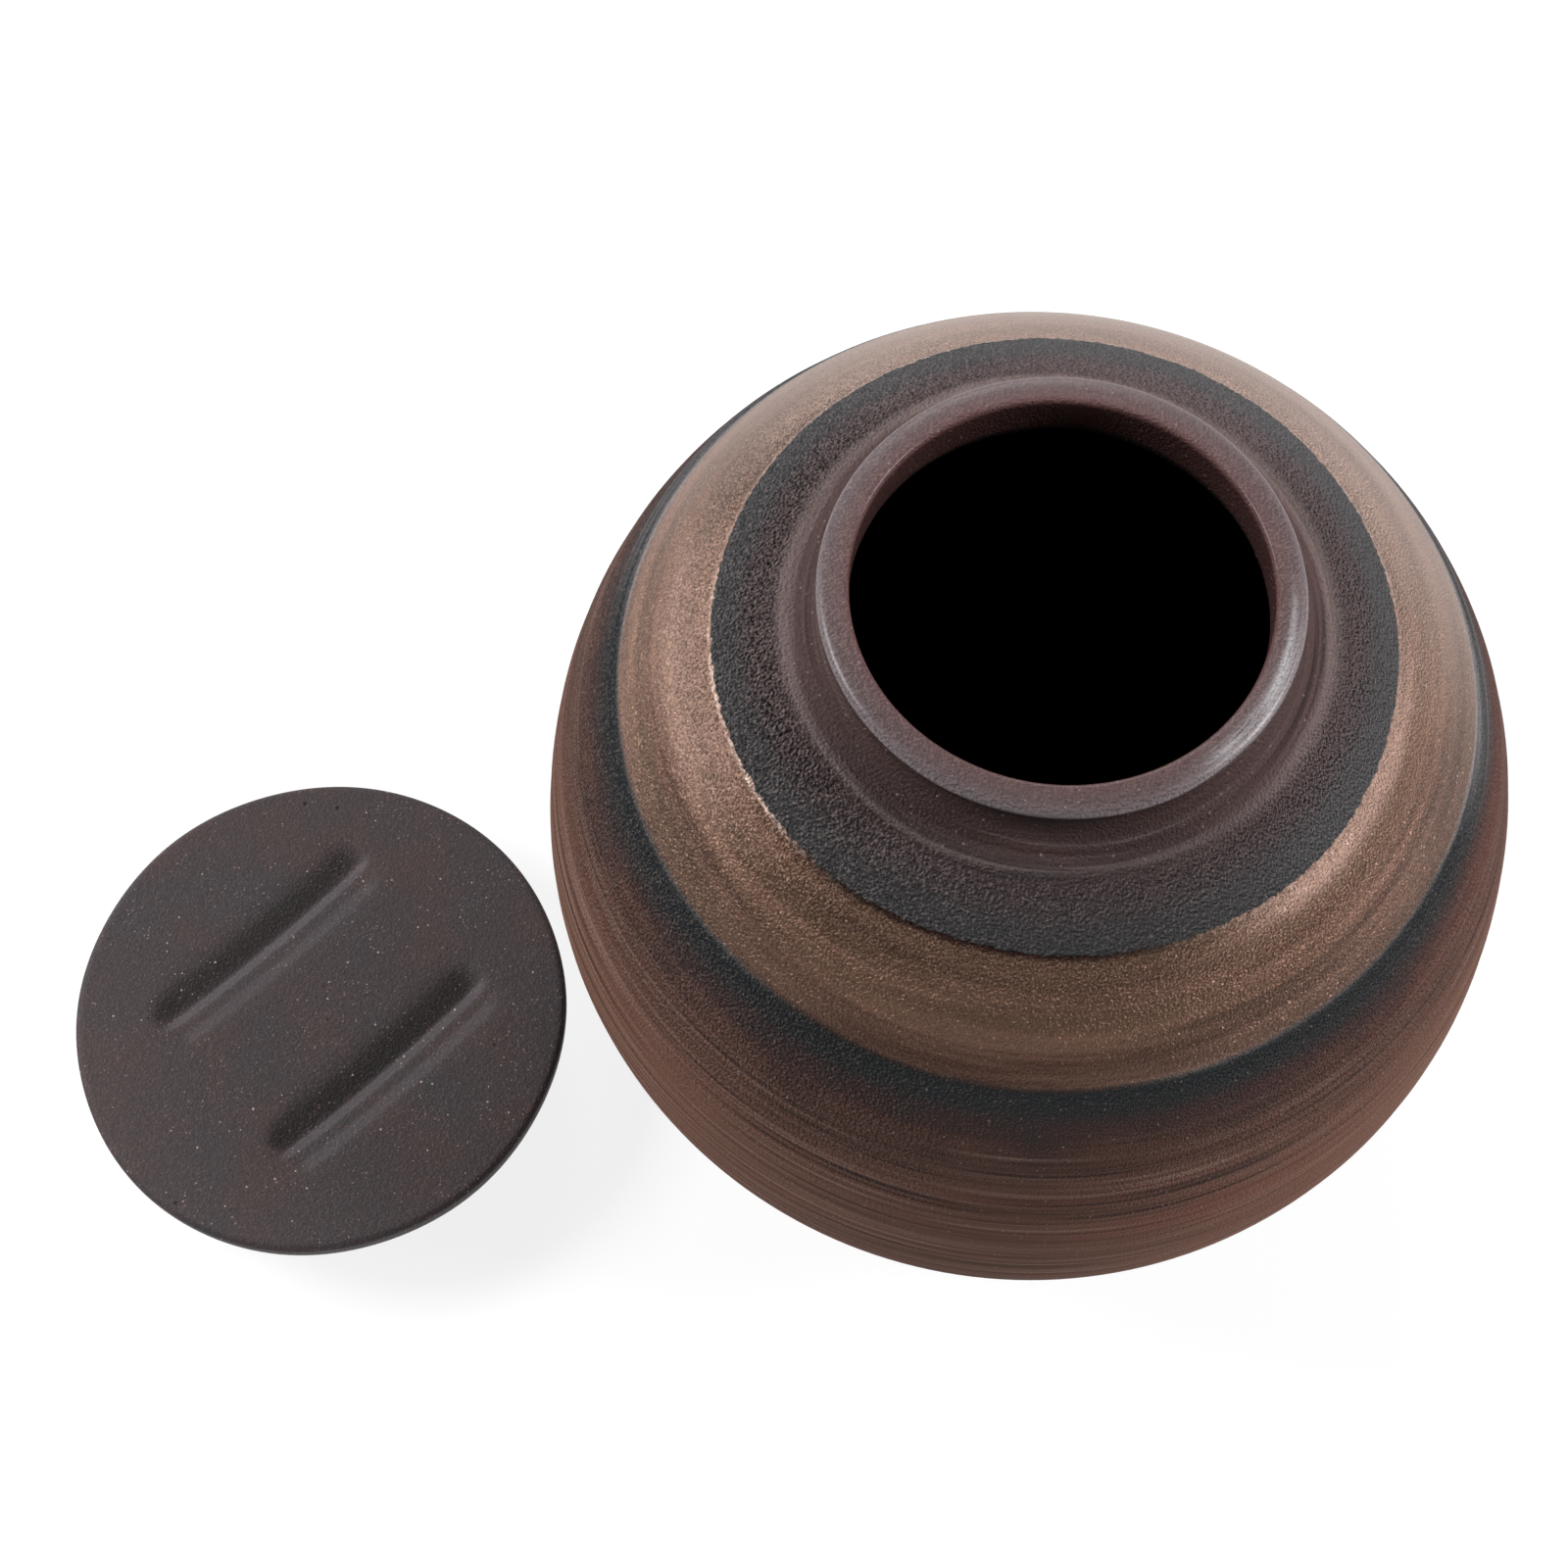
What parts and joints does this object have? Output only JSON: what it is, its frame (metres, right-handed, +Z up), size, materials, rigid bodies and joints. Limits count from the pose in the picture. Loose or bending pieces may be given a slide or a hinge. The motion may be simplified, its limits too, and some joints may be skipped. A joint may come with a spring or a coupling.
{
  "type": "ceramic storage canister",
  "caption": "Round stoneware storage jar with a short rolled neck and wide shoulder, and a flat lid with finger grooves and a sealing flange, lying beside it.",
  "frame": {"origin": "centre of the jar's flat foot, on the surface it stands on", "axes": "+Z up along the jar's turning axis; the lid lies beside the jar towards -X"},
  "size_m": [0.2404, 0.1548, 0.14],
  "materials": {
    "stoneware": "coarse unglazed brown stoneware with a satin bronze band between charcoal edges",
    "lid_stoneware": "matt dark brown grogged stoneware",
    "silicone": "soft translucent white"
  },
  "bodies": {
    "jar": {"jar_body": "stoneware"},
    "lid": {"lid": "lid_stoneware", "lid_seal": "silicone"}
  },
  "joints": [
    {"name": "lid_lift", "type": "slide", "parent": "jar", "child": "lid", "axis": [0, 0, 1], "range_m": [0, 0.16]}
  ]
}
